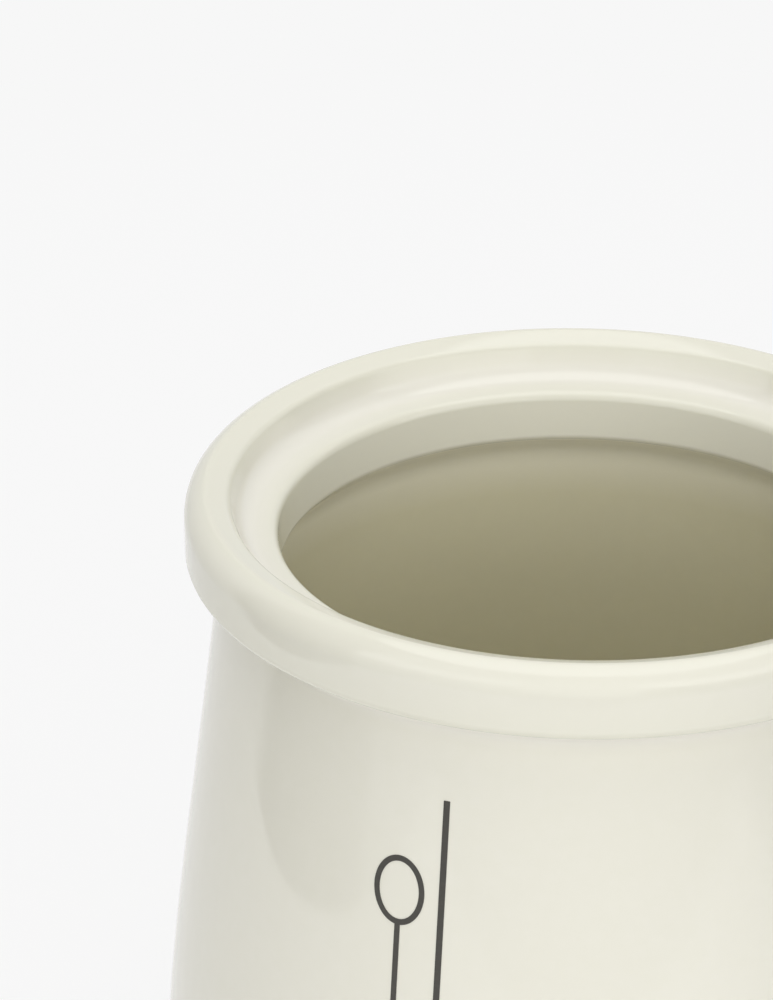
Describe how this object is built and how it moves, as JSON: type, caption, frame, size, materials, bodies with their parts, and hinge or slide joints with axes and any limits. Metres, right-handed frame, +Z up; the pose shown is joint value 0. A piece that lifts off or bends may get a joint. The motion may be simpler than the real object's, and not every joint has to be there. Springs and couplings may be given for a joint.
{
  "type": "utensil crock",
  "caption": "Tall glazed stoneware crock with a rolled rim, an inner ledge and a rounded belly, printed with an upright rule and utensil outlines, for holding kitchen tools.",
  "frame": {"origin": "centre of the foot ring, on the surface the crock stands on", "axes": "+Z up along the axis of the crock, -Y towards the front, which the print faces"},
  "size_m": [0.1338, 0.1338, 0.1597],
  "materials": {
    "fired_clay": "matte biscuit",
    "cream_glaze": "gloss",
    "liner_glaze": "gloss",
    "charcoal_ink": "satin fired print"
  },
  "bodies": {
    "root": {"clay_body": "fired_clay", "outer_glaze": "cream_glaze", "liner_glaze": "liner_glaze", "base_glaze": "cream_glaze", "printed_rule": "charcoal_ink", "printed_spoon": "charcoal_ink", "printed_turner": "charcoal_ink", "printed_whisk": "charcoal_ink"}
  },
  "joints": []
}
